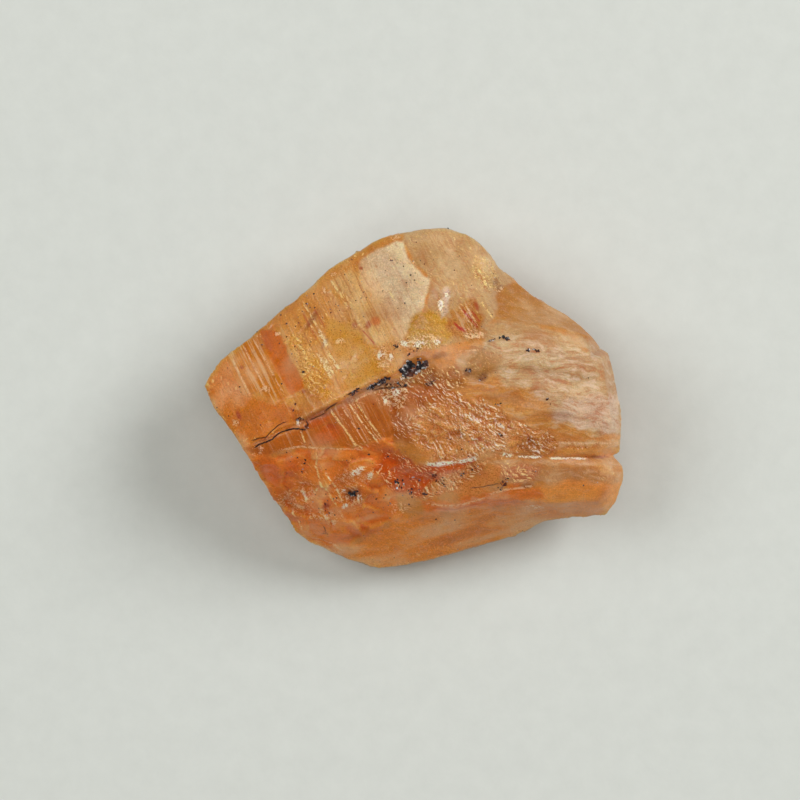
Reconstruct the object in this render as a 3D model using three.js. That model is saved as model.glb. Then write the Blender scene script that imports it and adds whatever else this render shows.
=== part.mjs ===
import * as THREE from "three";

// A raw crystal of orange topaz, broken from its rock: one solid stone, lying on its flat underside.
// X runs along the stone's length, Y across it and Z up, all in millimetres.
// The stone is blocked out by the lines where its faces meet, and its ledges and pits lie over that.

// The finished stone, measured over its furthest points
const size = { length: 21, width: 17.1, height: 10.1 };

// Distance between the mesh's points: along lines, over the upper faces, and over the underside
const lineSpacing = 0.45;
const topSpacing = 0.42;
const undersideSpacing = 0.95;

// How far the corners between the upper faces are worn round
const wear = 0.12;

// The outline seen from above, clockwise from the west tip. Each point is [x, y, height].
const outline = [
  [-10.5, 0.65, 5.1], [-10.25, 1.35, 5], [-9.75, 2, 5], [-8.2, 3.1, 5.3], [-6.7, 4.4, 5.55],
  [-5.7, 5.15, 5.75], [-4.15, 6.6, 5.95], [-3.1, 7.2, 6.2], [-1.9, 7.95, 6.4],
  [-0.7, 8.3, 6.5], [0.4, 8.47, 6.4], [1.55, 8.55, 6.3], [2.55, 8.3, 6.1], [3.3, 7.8, 5.9],
  [3.85, 7.1, 5.7], [4.3, 6.5, 5.5], [5.05, 5.9, 5.3], [5.8, 5.25, 5.1], [6.7, 4.65, 4.9],
  [7.55, 4.2, 4.9], [8.25, 3.65, 5], [8.95, 2.9, 5.2], [9.25, 2.5, 5.4], [9.65, 2.25, 5.5],
  [9.9, 1.35, 5.6], [10.1, 0.3, 5.5], [10.35, -1.05, 5.2], [10.35, -2.1, 5],
  [10.25, -2.6, 4.8], [9.9, -2.85, 4.6], [10.2, -3.1, 4.6], [10.5, -3.4, 4.6],
  [10.4, -4.35, 4.2], [10.1, -5.25, 3.7], [9.6, -5.8, 3.3], [8.05, -5.9, 3],
  [6.8, -6.05, 2.9], [5.8, -6.45, 2.8], [4.55, -7.05, 2.6], [2.8, -7.5, 2.4],
  [1.3, -7.95, 2.3], [-0.45, -8.4, 2.2], [-1.8, -8.55, 2.3], [-2.95, -8.2, 2.6],
  [-4.2, -7.7, 3], [-5.3, -7.2, 3.5], [-5.95, -6.65, 4], [-6.55, -5.7, 4.7],
  [-7.3, -4.6, 5.5], [-7.95, -3.5, 6.2], [-8.25, -2.85, 6.7], [-8.55, -2.45, 6.9],
  [-9.15, -1.55, 6.5], [-10.05, -0.4, 5.7],
];

// The ridge that parts the two west faces, and runs on to the east end. Its west half is cracked open.
const crack = [
  [-8.1, -2.25, 7.3], [-7.2, -1.85, 7.7], [-5.7, -1.25, 8.15], [-3.95, -0.25, 8.6],
  [-1.95, 0.75, 9.2], [-0.6, 1.35, 9.6],
];
const eastRidge = [[1.8, 2.45, 10], [3.8, 2.9, 10], [6.3, 2.5, 9.6], [8.55, 2.35, 8.6]];

// The lines where faces meet on the upper side
const upperLines = {
  crack,
  eastRidge,
  saddle: [
    [-0.35, 7.65, 7.3], [-0.1, 6.8, 7.95], [0.85, 5.9, 8.7], [0.5, 4.5, 9.1], [-0.2, 3.1, 9.3],
  ],
  northEastShoulder: [
    [3.5, 6.85, 6.9], [3.2, 5.45, 8.1], [3.95, 4, 9.1], [5.3, 3.65, 9], [7.3, 3.45, 8.5],
    [8.5, 3.05, 7.7],
  ],
  eastRim: [[9.2, 1.9, 7.9], [9.45, 0.7, 7.9], [9.7, -1.05, 7.4], [9.6, -2.25, 6.6]],
  eastField: [[4.3, 0.45, 9.7], [7.3, -0.05, 9.1]],
  sugarField: [[0.8, -0.05, 9.6], [2.8, -1.55, 8.9], [6.3, -1.55, 8.6], [8.8, -1.55, 7.8]],
  ledgeRim: [
    [0.5, -3.2, 8], [1.8, -3.2, 8], [3.2, -2.9, 8.2], [4.3, -2.6, 8.25], [5.8, -2.6, 8.05],
    [7.3, -2.62, 7.65], [9.05, -2.65, 6.85],
  ],
  groove: [[4.15, -2.85, 7.95], [5.8, -2.85, 7.65], [7.3, -2.9, 7.2], [9.15, -2.92, 6.2]],
  barCrest: [[4.55, -3.25, 7.9], [6.8, -3.25, 7.5], [9.3, -3.3, 6.75], [9.9, -3.8, 6]],
  barSide: [[4.55, -4.9, 6.7], [6.8, -5.1, 6.2], [9.2, -5, 5.5]],
  speckledRidge: [[0.55, -4.9, 6.5], [1.55, -4.3, 7], [2.4, -3.75, 7.4], [3.5, -3.35, 7.8]],
  hollow: [[-0.45, -4.05, 6.9], [0.8, -4.05, 6.9]],
  southEdge: [
    [-3.7, -6.55, 4.9], [-1.95, -6.15, 5.2], [-0.2, -5.8, 5.6], [1.3, -5.4, 6],
    [3.3, -5.05, 6.4],
  ],
  westStep: [
    [-7.5, -3.1, 6.7], [-5.7, -2.45, 7.5], [-3.2, -2.4, 8], [-1.45, -2.05, 8.5],
    [-0.7, -1.3, 8.9], [0.05, 0.2, 9.4],
  ],
  southWestField: [[-5.7, -4.55, 6], [-3.45, -4.55, 6.7], [-1.2, -4.05, 7.2]],
  southWestToe: [[-5.2, -6.05, 4.9], [-3.2, -7.3, 3.9]],
};

// The lines where faces meet on the underside: the flat foot, and the keels of the flanks over it
const lowerLines = {
  foot: [
    [-4.2, 2.45, 0], [-0.6, 4.7, 0], [3.8, 3.95, 0], [6.8, 0.95, 0], [6.9, -2.8, 0],
    [4.55, -5.65, 0], [0.8, -7.05, 0], [-2.6, -6.3, 0], [-5.3, -2.8, 0], [-4.2, 2.45, 0],
  ],
  westKeel: [[-8.9, 0.1, 2.9], [-7.1, -0.6, 1.3]],
  northKeel: [[1.2, 7.4, 3.4], [0.9, 6.1, 1.5]],
  eastKeel: [[6.6, 3.7, 2.6], [8.5, 1.4, 2.4], [8.9, -1.6, 2], [8.9, -4.3, 1.6]],
};

// The crack stands open like a shallow V
const crackGap = { halfWidth: 0.17, depth: 0.22 };

// The long axis of the crystal, seen from above. Its growth bands run this way.
const crystalAxis = new THREE.Vector2(0.45, -0.89).normalize();

// Growth bands on the west faces: where each step lies across the axis, its ends along it, its rise
const growthSteps = [
  { across: -7.6, from: -5.5, to: -2, rise: 0.05 },
  { across: -5.45, from: -6.2, to: -2.2, rise: -0.08 },
  { across: -4.55, from: -6.4, to: -2, rise: 0.08 },
  { across: -2.9, from: -5.6, to: 1.2, rise: -0.05 },
  { across: -1, from: -5.4, to: 1.4, rise: 0.06 },
];
const growthStepWidth = 0.24;

// Ledges on the upper faces. Each is steep on the right of its line and sinks slowly away on the left.
const ledges = [
  { rise: 0.16, line: [[2.8, 1.35], [4.8, 1.75], [7.05, 1.6], [9, 1.05]] },
  { rise: 0.13, line: [[3.1, 0.05], [5.3, 0.6], [7.3, 0.45], [9.2, -0.15]] },
  { rise: 0.14, line: [[4.3, -1.05], [6.3, -0.6], [8.05, -0.7], [9.3, -1.2]] },
  { rise: 0.12, line: [[0.6, -1.9], [1.9, -1.5], [3.4, -1.9]] },
  { rise: 0.17, line: [[-3.7, -5.7], [-4.3, -4.05], [-4.8, -2.9]] },
  { rise: 0.12, line: [[-1.1, -3.2], [-2.3, -3.5], [-3.3, -3.3]] },
  { rise: 0.14, line: [[2.1, 3.3], [2.7, 4.6], [2.5, 6.1]] },
];
const ledgeBack = 0.8;
const ledgeFront = 0.2;

// Broken hollows, and the pit that holds dark mineral grains. Lengths lie along and across turn.
const hollows = [
  { name: "mineral pit", x: -0.05, y: 1.6, long: 0.8, wide: 0.45, turn: 25, depth: 0.28 },
  { name: "south-west pit", x: -3.1, y: -4.75, long: 0.65, wide: 0.42, turn: 30, depth: 0.2 },
  { name: "west chip", x: -5.9, y: -0.85, long: 0.38, wide: 0.3, turn: 25, depth: 0.18 },
];

// Slow swells over the faces
const swell = { length: 3.4, rise: 0.07 };

// A number from -0.5 to 0.5 with no pattern to it, and always the same one for the same index
function scatter(index) {
  const wave = Math.sin(index * 12.9898) * 43758.5453;
  return wave - Math.floor(wave) - 0.5;
}

// Puts extra points along a line
function filledIn(line, spacing) {
  const filled = [line[0]];
  for (let i = 1; i < line.length; i++) {
    const [from, to] = [line[i - 1], line[i]];
    const parts = Math.max(1, Math.round(Math.hypot(to[0] - from[0], to[1] - from[1]) / spacing));
    for (let k = 1; k <= parts; k++)
      filled.push(from.map((value, axis) => value + ((to[axis] - value) * k) / parts));
  }
  return filled;
}

// A row of points beside a line, on its left for a positive offset
function rowBeside(line, offset) {
  return line.map(([x, y], i) => {
    const [before, after] = [line[Math.max(0, i - 1)], line[Math.min(line.length - 1, i + 1)]];
    const [dx, dy] = [after[0] - before[0], after[1] - before[1]];
    const length = Math.hypot(dx, dy);
    return [x - (dy / length) * offset, y + (dx / length) * offset];
  });
}

// How far a point is from a line, seen from above. It is negative on the line's right.
function sideDistance(x, y, line) {
  let nearest = Infinity;
  for (let i = 1; i < line.length; i++) {
    const [ax, ay] = line[i - 1];
    const [dx, dy] = [line[i][0] - ax, line[i][1] - ay];
    const share = THREE.MathUtils.clamp(((x - ax) * dx + (y - ay) * dy) / (dx * dx + dy * dy), 0, 1);
    const distance = Math.hypot(x - ax - dx * share, y - ay - dy * share);
    const isLeft = dx * (y - ay) - dy * (x - ax) > 0;
    if (distance < Math.abs(nearest)) nearest = isLeft ? distance : -distance;
  }
  return nearest;
}

// True where a point lies inside the outline, seen from above
function isInside(x, y, ring) {
  let inside = false;
  ring.forEach(([ax, ay], i) => {
    const [bx, by] = ring[(i + 1) % ring.length];
    if (ay > y !== by > y && x < ax + ((bx - ax) * (y - ay)) / (by - ay)) inside = !inside;
  });
  return inside;
}

// Delaunay triangles over points seen from above, by adding one point at a time.
// A hair's shift of each point keeps four points from ever lying on one circle.
function delaunay(points, ring) {
  const [far, hair] = [1000, 1e-4];
  const moved = points.map(([x, y], i) => [x + hair * scatter(i), y + hair * scatter(i + 0.5)]);
  const all = [...moved, [-far, -far], [far, -far], [0, far]];
  const withCircle = (a, b, c) => {
    const [ax, ay] = all[a];
    const [bx, by, cx, cy] = [all[b][0] - ax, all[b][1] - ay, all[c][0] - ax, all[c][1] - ay];
    const [bb, cc, scale] = [bx * bx + by * by, cx * cx + cy * cy, 2 * (bx * cy - by * cx)];
    const [x, y] = [(cy * bb - by * cc) / scale, (bx * cc - cx * bb) / scale];
    return { corners: [a, b, c], x: ax + x, y: ay + y, reach: x * x + y * y };
  };
  let triangles = [withCircle(points.length, points.length + 1, points.length + 2)];
  for (let index = 0; index < points.length; index++) {
    const [x, y] = all[index];
    const rim = new Map();
    triangles = triangles.filter((triangle) => {
      if ((x - triangle.x) ** 2 + (y - triangle.y) ** 2 > triangle.reach) return true;
      for (let k = 0; k < 3; k++) {
        const [a, b] = [triangle.corners[k], triangle.corners[(k + 1) % 3]];
        if (!rim.delete(`${b},${a}`)) rim.set(`${a},${b}`, [a, b]);
      }
      return false;
    });
    for (const [a, b] of rim.values()) triangles.push(withCircle(a, b, index));
  }
  return triangles
    .map(({ corners }) => corners)
    .filter((corners) => corners.every((i) => i < points.length))
    .filter((corners) => {
      const [x, y] = [0, 1].map((axis) => corners.reduce((sum, i) => sum + points[i][axis] / 3, 0));
      return isInside(x, y, ring);
    });
}

// Adds each point that keeps its distance from the ones before it and leaves the outline's edges free
function addApart(points, extra, gap, ring) {
  for (const p of extra) {
    const isApart = points.every((q) => Math.hypot(p[0] - q[0], p[1] - q[1]) > gap);
    const isFree = ring.every(([ax, ay], i) => {
      const [bx, by] = ring[(i + 1) % ring.length];
      return (p[0] - ax) * (p[0] - bx) + (p[1] - ay) * (p[1] - by) > 0;
    });
    if (isApart && isFree && isInside(p[0], p[1], ring)) points.push(p);
  }
}

// One side of the stone with nothing but its main faces
function blockedOut(ring, lines) {
  const points = [...ring];
  for (const line of Object.values(lines)) addApart(points, filledIn(line, lineSpacing), 0.05, ring);
  return { points, triangles: delaunay(points, ring) };
}

// The height of a blocked-out side at a place, or nothing where the place is beyond the outline
function heightOn(side, x, y) {
  for (const corners of side.triangles) {
    const [a, b, c] = corners.map((i) => side.points[i]);
    const area = (b[0] - a[0]) * (c[1] - a[1]) - (b[1] - a[1]) * (c[0] - a[0]);
    const shareB = ((x - a[0]) * (c[1] - a[1]) - (y - a[1]) * (c[0] - a[0])) / area;
    const shareC = ((b[0] - a[0]) * (y - a[1]) - (b[1] - a[1]) * (x - a[0])) / area;
    if (shareB >= 0 && shareC >= 0 && shareB + shareC <= 1)
      return a[2] + shareB * (b[2] - a[2]) + shareC * (c[2] - a[2]);
  }
  return undefined;
}

// The same height, worn: the mean of the place and six places round it, but not next to the outline
function wornHeight(side, x, y) {
  const height = heightOn(side, x, y);
  const turns = [0, 1, 2, 3, 4, 5].map((sixth) => (sixth * Math.PI) / 3);
  const round = turns.map((turn) => heightOn(side, x + wear * Math.cos(turn), y + wear * Math.sin(turn)));
  if (round.includes(undefined)) return height;
  return round.reduce((sum, each) => sum + each, height) / (round.length + 1);
}

function swellAt(x, y, z) {
  const wave = (a, b, c) => Math.sin((a * x + b * y + c * z) * ((2 * Math.PI) / swell.length));
  return (swell.rise * (wave(0.9, 0.4, 0.2) + wave(-0.5, 0.8, 0.5) + wave(0.3, -0.7, 0.9))) / 2;
}

// A growth step's line, seen from above
function growthLine(step) {
  const across = new THREE.Vector2(-crystalAxis.y, crystalAxis.x).multiplyScalar(step.across);
  return [step.from, step.to].map((along) => {
    const end = crystalAxis.clone().multiplyScalar(along).add(across);
    return [end.x, end.y];
  });
}

// How far down a hollow's wall a place is: 0 at the rim and beyond, 1 on its flat floor
function hollowShare(x, y, hollow) {
  const turn = THREE.MathUtils.degToRad(hollow.turn);
  const [dx, dy] = [x - hollow.x, y - hollow.y];
  const along = (dx * Math.cos(turn) + dy * Math.sin(turn)) / hollow.long;
  const across = (dy * Math.cos(turn) - dx * Math.sin(turn)) / hollow.wide;
  return THREE.MathUtils.clamp(2 * (1 - Math.hypot(along, across)), 0, 1);
}

// Two rings of points on a hollow: its rim and the edge of its floor
function hollowRings(hollow) {
  const turn = THREE.MathUtils.degToRad(hollow.turn);
  const corners = 10;
  return [1, 0.5].flatMap((share) =>
    Array.from({ length: corners * share }, (_, k) => {
      const angle = (k / (corners * share)) * 2 * Math.PI;
      const along = share * hollow.long * Math.cos(angle);
      const across = share * hollow.wide * Math.sin(angle);
      return [
        hollow.x + along * Math.cos(turn) - across * Math.sin(turn),
        hollow.y + along * Math.sin(turn) + across * Math.cos(turn),
      ];
    }),
  );
}

// What the upper side's cracks, bands, ledges and hollows add to its height
function topRelief(x, y, z) {
  const crackShare = 1 - Math.abs(sideDistance(x, y, crack)) / crackGap.halfWidth;
  let height = swellAt(x, y, z) - crackGap.depth * Math.max(0, crackShare);
  for (const step of growthSteps) {
    const [start, end] = growthLine(step);
    const distance = sideDistance(x, y, [start, end]);
    const along = crystalAxis.x * x + crystalAxis.y * y;
    const ends = Math.min(along - step.from, step.to - along);
    const isLeft = THREE.MathUtils.smoothstep(distance, -growthStepWidth / 2, growthStepWidth / 2);
    const fade = Math.exp(-Math.max(0, distance) / 1.6);
    height += step.rise * isLeft * fade * THREE.MathUtils.smoothstep(ends, -0.5, 0.8);
  }
  for (const { rise, line } of ledges) {
    const distance = sideDistance(x, y, line);
    const [start, end] = [line[0], line[line.length - 1]];
    const toEnd = Math.min(Math.hypot(x - start[0], y - start[1]), Math.hypot(x - end[0], y - end[1]));
    const away = distance > 0 ? distance / ledgeBack : -distance / ledgeFront;
    height += rise * Math.max(0, 1 - away) * THREE.MathUtils.smoothstep(toEnd, 0, 0.7);
  }
  for (const hollow of hollows) height -= hollow.depth * hollowShare(x, y, hollow);
  return height;
}

// The underside is plain: its foot is flat, and only the flanks swell
function undersideRelief(x, y, z) {
  return swellAt(x, y, z) * THREE.MathUtils.smoothstep(z, 0.3, 1.5);
}

// The rows of points that the upper side's relief needs
function reliefRows() {
  const spacedCrack = filledIn(crack, lineSpacing);
  return [
    ...[-1, 1].map((side) => rowBeside(spacedCrack, side * crackGap.halfWidth)),
    ...hollows.map(hollowRings),
    ...ledges.flatMap(({ line }) => {
      const spaced = filledIn(line, lineSpacing);
      return [spaced, rowBeside(spaced, -ledgeFront)];
    }),
    ...growthSteps.flatMap((step) => {
      const spaced = filledIn(growthLine(step), lineSpacing);
      return [-0.5, 0.5].map((share) => rowBeside(spaced, share * growthStepWidth));
    }),
  ];
}

// An even field of points, each a little out of its place
function fieldOf(spacing) {
  const points = [];
  const rowHeight = spacing * Math.sin(Math.PI / 3);
  for (let y = -size.width / 2, row = 0; y < size.width / 2; y += rowHeight, row++)
    for (let x = -size.length / 2 + (row % 2) * (spacing / 2); x < size.length / 2; x += spacing) {
      const jog = [scatter(points.length), scatter(points.length + 0.3)].map((s) => s * spacing * 0.3);
      points.push([x + jog[0], y + jog[1]]);
    }
  return points;
}

// One side of the stone in full
function finished({ ring, lines, rows, spacing, heightAt, reliefAt }) {
  const side = blockedOut(ring, lines);
  const points = [...ring];
  for (const row of rows) addApart(points, row, lineSpacing * 0.3, ring);
  for (const line of Object.values(lines))
    addApart(points, filledIn(line, lineSpacing), lineSpacing * 0.33, ring);
  addApart(points, fieldOf(spacing), spacing * 0.62, ring);
  const raised = points.slice(ring.length).map(([x, y]) => {
    const height = heightAt(side, x, y);
    const toEdge = Math.abs(sideDistance(x, y, [...ring, ring[0]]));
    return [x, y, Math.max(0, height + reliefAt(x, y, height) * Math.min(1, toEdge))];
  });
  return { points: [...ring, ...raised], triangles: delaunay(points, ring) };
}

// Joins the two sides at the outline that they share
function stoneGeometry() {
  const ring = filledIn([...outline, outline[0]], lineSpacing).slice(0, -1);
  const upper = finished({
    ring,
    lines: upperLines,
    rows: reliefRows(),
    spacing: topSpacing,
    heightAt: wornHeight,
    reliefAt: topRelief,
  });
  const lower = finished({
    ring,
    lines: lowerLines,
    rows: [],
    spacing: undersideSpacing,
    heightAt: heightOn,
    reliefAt: undersideRelief,
  });
  const shift = upper.points.length - ring.length;
  const renumbered = (i) => (i < ring.length ? i : i + shift);
  const points = [...upper.points, ...lower.points.slice(ring.length)];
  const stone = new THREE.BufferGeometry();
  stone.setAttribute("position", new THREE.Float32BufferAttribute(points.flat(), 3));
  stone.setIndex([
    ...upper.triangles.flat(),
    ...lower.triangles.flatMap(([a, b, c]) => [renumbered(a), renumbered(c), renumbered(b)]),
  ]);

  // Fits the finished stone to its size, with the origin under its middle
  stone.computeBoundingBox();
  const middle = stone.boundingBox.getCenter(new THREE.Vector3());
  const span = stone.boundingBox.getSize(new THREE.Vector3());
  stone.translate(-middle.x, -middle.y, -stone.boundingBox.min.z);
  stone.scale(size.length / span.x, size.width / span.y, size.height / span.z);
  stone.computeVertexNormals();
  return stone;
}

const orangeTopaz = new THREE.MeshStandardMaterial({
  color: 0xc87a38,
  roughness: 0.3,
  metalness: 0,
});

const crystal = new THREE.Mesh(stoneGeometry(), orangeTopaz);
crystal.name = "topaz_crystal";

const rawTopaz = new THREE.Group();
rawTopaz.add(crystal);
export default rawTopaz;
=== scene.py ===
import math

import bpy
import numpy as np
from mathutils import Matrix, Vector
from mathutils.bvhtree import BVHTree


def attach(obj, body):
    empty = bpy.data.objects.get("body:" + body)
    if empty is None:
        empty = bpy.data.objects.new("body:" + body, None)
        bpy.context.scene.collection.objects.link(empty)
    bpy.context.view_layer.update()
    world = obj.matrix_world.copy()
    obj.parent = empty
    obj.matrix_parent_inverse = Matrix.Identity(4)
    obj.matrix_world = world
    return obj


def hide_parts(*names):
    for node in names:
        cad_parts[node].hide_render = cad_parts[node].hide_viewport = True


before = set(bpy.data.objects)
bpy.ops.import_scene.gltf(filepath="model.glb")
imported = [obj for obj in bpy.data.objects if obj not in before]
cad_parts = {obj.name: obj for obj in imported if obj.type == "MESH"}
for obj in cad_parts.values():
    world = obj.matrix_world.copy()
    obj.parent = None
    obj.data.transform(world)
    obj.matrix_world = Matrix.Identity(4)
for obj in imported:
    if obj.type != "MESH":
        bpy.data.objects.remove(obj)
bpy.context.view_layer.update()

# A raw orange topaz crystal on pale paper, seen from straight above.
# Shapes are worked out in millimetres, and turned into metres when they become meshes.

mm = 0.001

# How a pixel of the picture lies over the stone: the pixel over its origin, and the picture's scale
picture = {"originX": 414, "originY": 399, "pixelsPerMm": 20, "middle": 400, "side": 800}


def at(px, py):
    return np.array([(px - picture["originX"]) / picture["pixelsPerMm"],
                     (picture["originY"] - py) / picture["pixelsPerMm"]])


def line(pixels):
    return np.array([at(px, py) for px, py in pixels])


# Noise, over places in mm

def randomAt(cells, seed):
    n = cells[..., 0] * 374761393 + cells[..., 1] * 668265263 + cells[..., 2] * 2147483629 + seed * 974634777
    n = (n ^ (n >> 13)) * 1274126177
    n = n ^ (n >> 16)
    return (n & 0xffffff) / 0xffffff


def soft(places, size, seed=0):        # one size of lump, -1 to 1
    scaled = places / size + 31.7 * (seed + 1)
    cell = np.floor(scaled).astype(np.int64)
    part = scaled - cell
    part = part * part * (3 - 2 * part)
    total = np.zeros(len(places))
    for corner in np.ndindex(2, 2, 2):
        share = np.prod(np.where(corner, part, 1 - part), axis=1)
        total += share * randomAt(cell + corner, seed)
    return 2 * total - 1


def rough(places, size, octaves=3, seed=0):        # lumps on lumps
    total = np.zeros(len(places))
    for octave in range(octaves):
        total += 0.5 ** octave * soft(places, size / 2 ** octave, seed + octave)
    return total


def facets(places, size, seed=0):        # broken cells, each a small plane with a tilt of its own
    scaled = places / size
    cell = np.floor(scaled).astype(np.int64)
    nearest = np.full(len(places), 9.0)
    height = np.zeros(len(places))
    for offset in np.ndindex(3, 3, 3):
        near = cell + offset - 1
        away = scaled - near - np.stack([randomAt(near, seed + k) for k in (1, 2, 3)], axis=1)
        tilt = np.stack([randomAt(near, seed + k) for k in (4, 5, 6)], axis=1) - 0.5
        distance = np.linalg.norm(away, axis=1)
        height = np.where(distance < nearest, np.sum(away * tilt, axis=1), height)
        nearest = np.minimum(nearest, distance)
    return height * size


def ramp(value, low, high):
    share = np.clip((value - low) / (high - low), 0, 1)
    return share * share * (3 - 2 * share)


def turned(flat, angle):        # plan places, seen along a direction this many degrees from +X
    c, s = math.cos(math.radians(angle)), math.sin(math.radians(angle))
    return flat[:, 0] * c + flat[:, 1] * s, flat[:, 1] * c - flat[:, 0] * s


# Drawn lines, patches and ovals, seen from above

def toLine(flat, path):        # distance to a line, positive on its left, and the way to its nearer end
    best = np.full(len(flat), np.inf)
    side = np.ones(len(flat))
    along = np.zeros(len(flat))
    before = 0.0
    for a, b in zip(path[:-1], path[1:]):
        d = b - a
        length = math.hypot(*d)
        share = np.clip(((flat - a) @ d) / length ** 2, 0, 1)
        away = np.linalg.norm(flat - a - share[:, None] * d, axis=1)
        nearer = away < best
        isLeft = d[0] * (flat[:, 1] - a[1]) > d[1] * (flat[:, 0] - a[0])
        best = np.where(nearer, away, best)
        side = np.where(nearer, np.where(isLeft, 1, -1), side)
        along = np.where(nearer, before + share * length, along)
        before += length
    return best * side, np.minimum(along, before - along)


def inPatch(flat, rim, blur, frayed):        # 1 inside, 0 outside, blurred over a rim shifted by frayed
    inside = np.zeros(len(flat), bool)
    x, y = flat[:, 0], flat[:, 1]
    for (ax, ay), (bx, by) in zip(rim, np.roll(rim, -1, axis=0)):
        if ay != by:
            crosses = (ay > y) != (by > y)
            inside ^= crosses & (x < ax + (bx - ax) * (y - ay) / (by - ay))
    away = np.abs(toLine(flat, np.vstack([rim, rim[:1]]))[0])
    return ramp(np.where(inside, away, -away) + frayed, -blur, blur)


def inOval(flat, px, py, long, wide, turn):        # sizes in pixels, turn in degrees
    along, across = turned(flat - at(px, py), turn)
    away = np.hypot(along / long, across / wide) * picture["pixelsPerMm"]
    return 1 - ramp(away, 0.55, 1.3)


def lineField(flat, lines):        # signed half widths to the nearest line, and how strong that line is
    farOff = 9.0
    best = np.full(len(flat), np.inf)
    side = np.full(len(flat), farOff)
    share = np.zeros(len(flat))
    for width, strength, pixels in lines:
        away, end = toLine(flat, line(pixels))
        nearer = np.abs(away) < best
        fading = strength * ramp(end, 0, 0.2) * (1 - ramp(np.abs(away), 0.25, 0.4))
        best = np.where(nearer, np.abs(away), best)
        side = np.where(nearer, away * picture["pixelsPerMm"] / width, side)
        share = np.where(nearer, fading, share)
    return np.clip(side, -farOff, farOff), share


# Mesh

def merged(obj):        # a CAD node's corners in mm, each once, and its triangles
    mesh = obj.data
    mesh.calc_loop_triangles()
    corners = np.zeros(len(mesh.vertices) * 3)
    mesh.vertices.foreach_get("co", corners)
    faces = np.zeros(len(mesh.loop_triangles) * 3, np.int64)
    mesh.loop_triangles.foreach_get("vertices", faces)
    keys = np.round(corners.reshape(-1, 3) * 1e7).astype(np.int64)
    _, first, number = np.unique(keys, axis=0, return_index=True, return_inverse=True)
    faces = number.ravel()[faces].reshape(-1, 3)
    whole = (faces[:, 0] != faces[:, 1]) & (faces[:, 1] != faces[:, 2]) & (faces[:, 2] != faces[:, 0])
    return corners.reshape(-1, 3)[first] / mm, faces[whole]


def edgesOf(faces):
    pairs = np.sort(np.stack([faces, np.roll(faces, -1, axis=1)], axis=2).reshape(-1, 2), axis=1)
    count = faces.max() + 1
    keys, number = np.unique(pairs[:, 0] * count + pairs[:, 1], return_inverse=True)
    return np.stack([keys // count, keys % count], axis=1), number.reshape(-1, 3)


def cutFiner(points, faces, longest):        # halves every edge longer than longest(middles), until none is
    while True:
        edges, ofFace = edgesOf(faces)
        a, b = points[edges[:, 0]], points[edges[:, 1]]
        isLong = np.linalg.norm((a - b)[:, :3], axis=1) > longest((a + b) / 2)
        if not isLong.any():
            return points, faces
        number = np.where(isLong, len(points) + np.cumsum(isLong) - 1, -1)
        points = np.vstack([points, ((a + b) / 2)[isLong]])
        cut = number[ofFace]
        count = (cut >= 0).sum(axis=1)
        # Turned so that the only cut edge, or the only whole one, comes last
        last = np.where(count == 1, np.argmax(cut >= 0, axis=1), np.argmin(cut >= 0, axis=1))
        turn = (last[:, None] + np.array([1, 2, 3])) % 3
        v0, v1, v2 = np.take_along_axis(faces, turn, 1).T
        e0, e1, e2 = np.take_along_axis(cut, turn, 1).T
        one, two, three = count == 1, count == 2, count == 3
        gaps = [np.linalg.norm((points[p] - points[q])[:, :3], axis=1) for p, q in ((v0, e1), (v2, e0))]
        short = gaps[0] < gaps[1]
        parts = [faces[count == 0]]
        for which, corners in (
                (one, (v0, v1, e2)), (one, (v1, v2, e2)),
                (three, (v0, e0, e2)), (three, (e0, v1, e1)), (three, (e1, v2, e2)), (three, (e0, e1, e2)),
                (two, (e0, v1, e1)), (two & short, (v0, e0, e1)), (two & short, (v0, e1, v2)),
                (two & ~short, (v0, e0, v2)), (two & ~short, (e0, e1, v2))):
            parts.append(np.stack(corners, axis=1)[which])
        faces = np.vstack(parts)


def relaxed(points, faces, rounds, share):        # draws each point towards the middle of its neighbours
    edges, _ = edgesOf(faces)
    count = np.bincount(edges.ravel(), minlength=len(points))[:, None]
    for _ in range(rounds):
        total = np.zeros_like(points)
        for axis in range(3):
            total[:, axis] = (np.bincount(edges[:, 0], points[edges[:, 1], axis], len(points))
                              + np.bincount(edges[:, 1], points[edges[:, 0], axis], len(points)))
        points = points + share * (total / count - points)
    return points


def normalsOf(points, faces):
    a, b, c = points[faces].transpose(1, 0, 2)
    slanted = np.cross(b - a, c - a)
    total = np.zeros_like(points)
    for axis in range(3):
        for corner in range(3):
            total[:, axis] += np.bincount(faces[:, corner], slanted[:, axis], len(points))
    return total / np.maximum(np.linalg.norm(total, axis=1, keepdims=True), 1e-12)


def meshObject(name, points, faces, attributes=None):
    mesh = bpy.data.meshes.new(name)
    mesh.from_pydata((points * mm).tolist(), [], faces.tolist())
    mesh.validate()
    mesh.shade_smooth()
    for key, values in (attributes or {}).items():
        isColour = values.ndim == 2
        attribute = mesh.attributes.new(key, "FLOAT_COLOR" if isColour else "FLOAT", "POINT")
        attribute.data.foreach_set("color" if isColour else "value", values.astype(np.float32).ravel())
    obj = bpy.data.objects.new(name, mesh)
    bpy.context.collection.objects.link(obj)
    return obj


# The crystal

crystal = {
    # Longest edges of the finer mesh, in mm, and how it is smoothed. Swell gives the sides back their size.
    "topEdge": 0.118, "sideEdge": 0.26, "footEdge": 0.9, "footHeight": 1e-4,
    "smoothRounds": 7, "smoothShare": 0.5, "swell": 0.15,
    # The way things run in plan, in degrees from +X: growth lines, sugar, the east field's bands, streaks
    "axis": -63.2, "sugarLie": -42, "flowLie": -7, "sweptLie": 18,
    # Height of the relief: the first three in mm, the others as a share of broken cells of up to 2.6 mm
    "waves": 0.025, "striped": 0.02, "frost": 0.05,
    "sugar": 0.8, "mottled": 0.35, "chipped": 0.6, "sides": 0.18,
    # How far the rims of patches, ovals and lines wander, in mm
    "frayed": 0.22, "ovalWander": 0.08, "lineWander": 0.015,
}

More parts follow.
